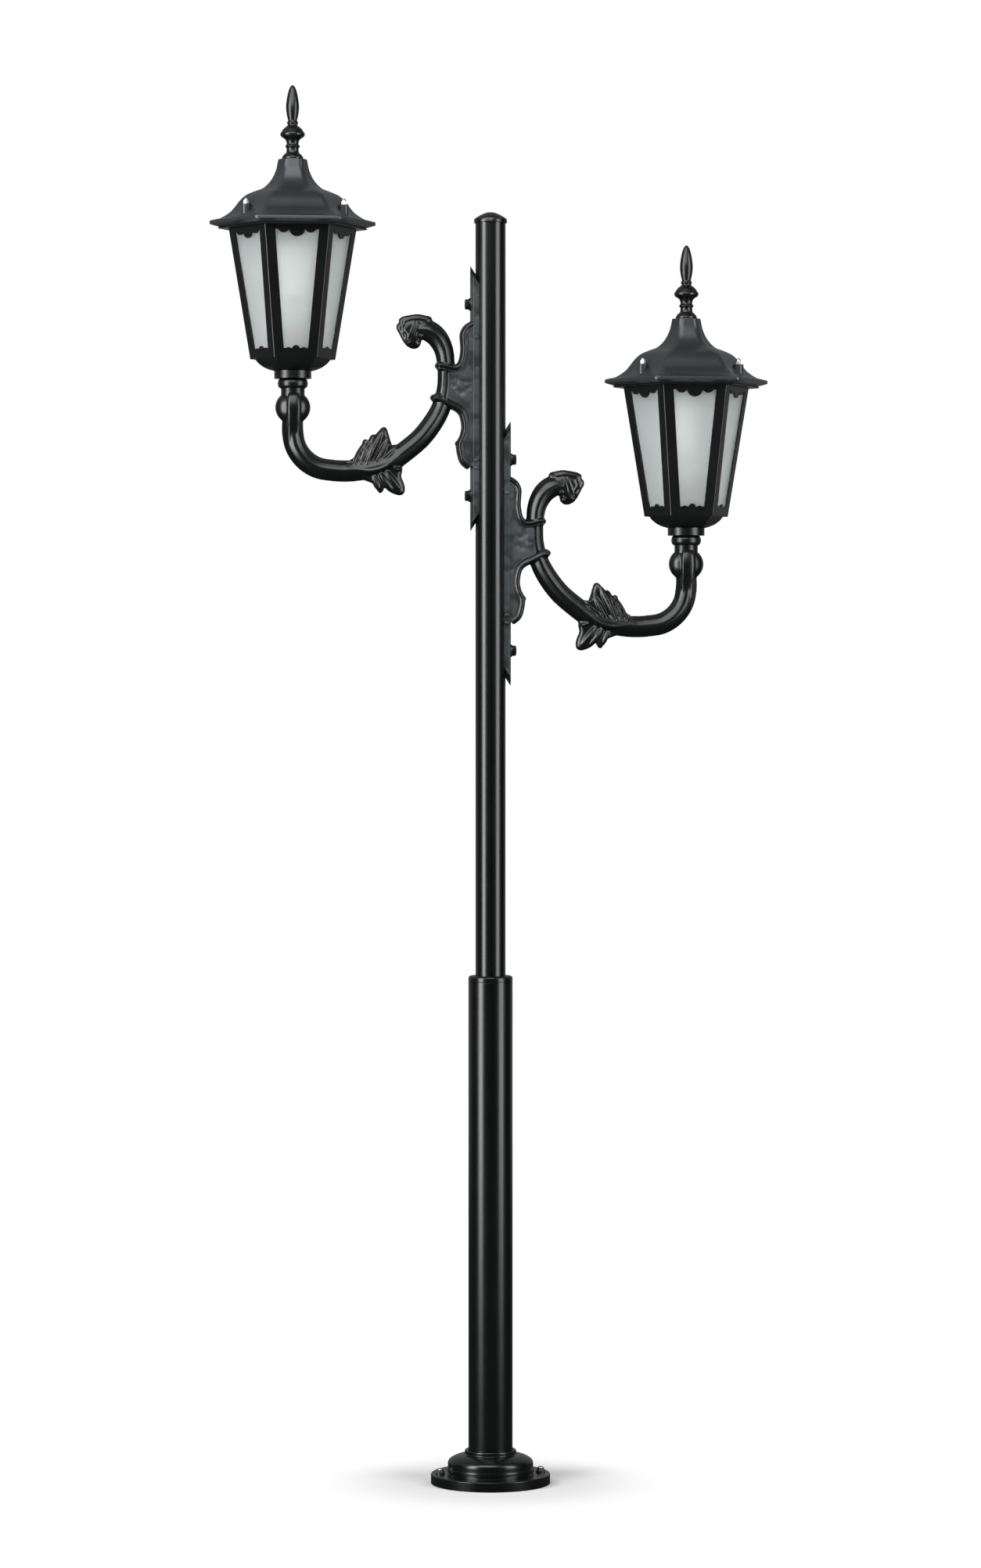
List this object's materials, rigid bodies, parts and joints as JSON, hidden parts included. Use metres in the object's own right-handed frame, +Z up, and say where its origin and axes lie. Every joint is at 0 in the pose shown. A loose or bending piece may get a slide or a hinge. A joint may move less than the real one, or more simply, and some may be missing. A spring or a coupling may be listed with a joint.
{
  "type": "garden lamp post",
  "caption": "Garden lamp post with a stepped tubular column, scroll arms and hexagonal glazed lanterns at staggered heights on a bolted round foot.",
  "frame": {"origin": "middle of the foot's underside, on the ground", "axes": "+Z up along the post, the arms along X, the higher arm on -X"},
  "size_m": [1.13, 0.291, 2.8011],
  "materials": {
    "black_paint": "semi-gloss black powder coat",
    "black_casting": "semi-gloss black powder coat on a casting",
    "roof_paint": "satin black powder coat",
    "black_fastener": "black coated steel",
    "bare_steel": "zinc plated",
    "bright_nut": "bright plated",
    "dark_washer": "dark plated",
    "rubber": "matte",
    "frosted_glass": "frosted",
    "holder_ceramic": "glazed",
    "bulb_cap_metal": "nickelled brass",
    "bulb_glass": "opal",
    "block_plastic": "matte"
  },
  "bodies": {
    "post": {"anchor_nuts": "bright_nut", "anchor_washers": "dark_washer", "base_cover": "black_paint", "base_flange": "black_paint", "cover_grub_screws": "bare_steel", "lower_tube": "black_paint", "post_cap": "black_paint", "reducer_ring": "black_paint", "spacer_ring": "bare_steel", "upper_tube": "black_paint", "left_arm": "black_casting", "left_bracket_bolts": "black_fastener", "left_bracket_washers": "black_fastener", "left_tube_inserts": "bare_steel", "left_cable_grommet": "rubber", "right_arm": "black_casting", "right_bracket_bolts": "black_fastener", "right_bracket_washers": "black_fastener", "right_tube_inserts": "bare_steel", "right_cable_grommet": "rubber"},
    "left_lantern": {"left_bowl": "black_casting", "left_bowl_screws": "bare_steel", "left_bulb_cap": "bulb_cap_metal", "left_bulb_globe": "bulb_glass", "left_collar_screws": "black_fastener", "left_fitter_collar": "black_casting", "left_frame": "black_casting", "left_glass_panes": "frosted_glass", "left_lampholder": "holder_ceramic", "left_lampholder_bracket": "bare_steel", "left_pane_clips": "bare_steel", "left_roof_studs": "bare_steel", "left_stem_nut": "bare_steel", "left_terminal_block": "block_plastic"},
    "left_roof_set": {"left_roof": "roof_paint", "left_roof_cap_nuts": "bright_nut", "left_finial": "black_casting", "left_finial_nut": "bare_steel"},
    "right_lantern": {"right_bowl": "black_casting", "right_bowl_screws": "bare_steel", "right_bulb_cap": "bulb_cap_metal", "right_bulb_globe": "bulb_glass", "right_collar_screws": "black_fastener", "right_fitter_collar": "black_casting", "right_frame": "black_casting", "right_glass_panes": "frosted_glass", "right_lampholder": "holder_ceramic", "right_lampholder_bracket": "bare_steel", "right_pane_clips": "bare_steel", "right_roof_studs": "bare_steel", "right_stem_nut": "bare_steel", "right_terminal_block": "block_plastic"},
    "right_roof_set": {"right_roof": "roof_paint", "right_roof_cap_nuts": "bright_nut", "right_finial": "black_casting", "right_finial_nut": "bare_steel"}
  },
  "joints": [
    {"name": "left_lantern_turn", "type": "hinge", "parent": "post", "child": "left_lantern", "pos_m": [-0.397, 0, 2.2176], "axis": [0, 0, 1], "range_deg": [-180, 180]},
    {"name": "left_roof_lift", "type": "slide", "parent": "left_lantern", "child": "left_roof_set", "axis": [0, 0, 1], "range_m": [0, 0.12]},
    {"name": "right_lantern_turn", "type": "hinge", "parent": "post", "child": "right_lantern", "pos_m": [0.397, 0, 1.9076], "axis": [0, 0, 1], "range_deg": [-180, 180]},
    {"name": "right_roof_lift", "type": "slide", "parent": "right_lantern", "child": "right_roof_set", "axis": [0, 0, 1], "range_m": [0, 0.12]}
  ]
}
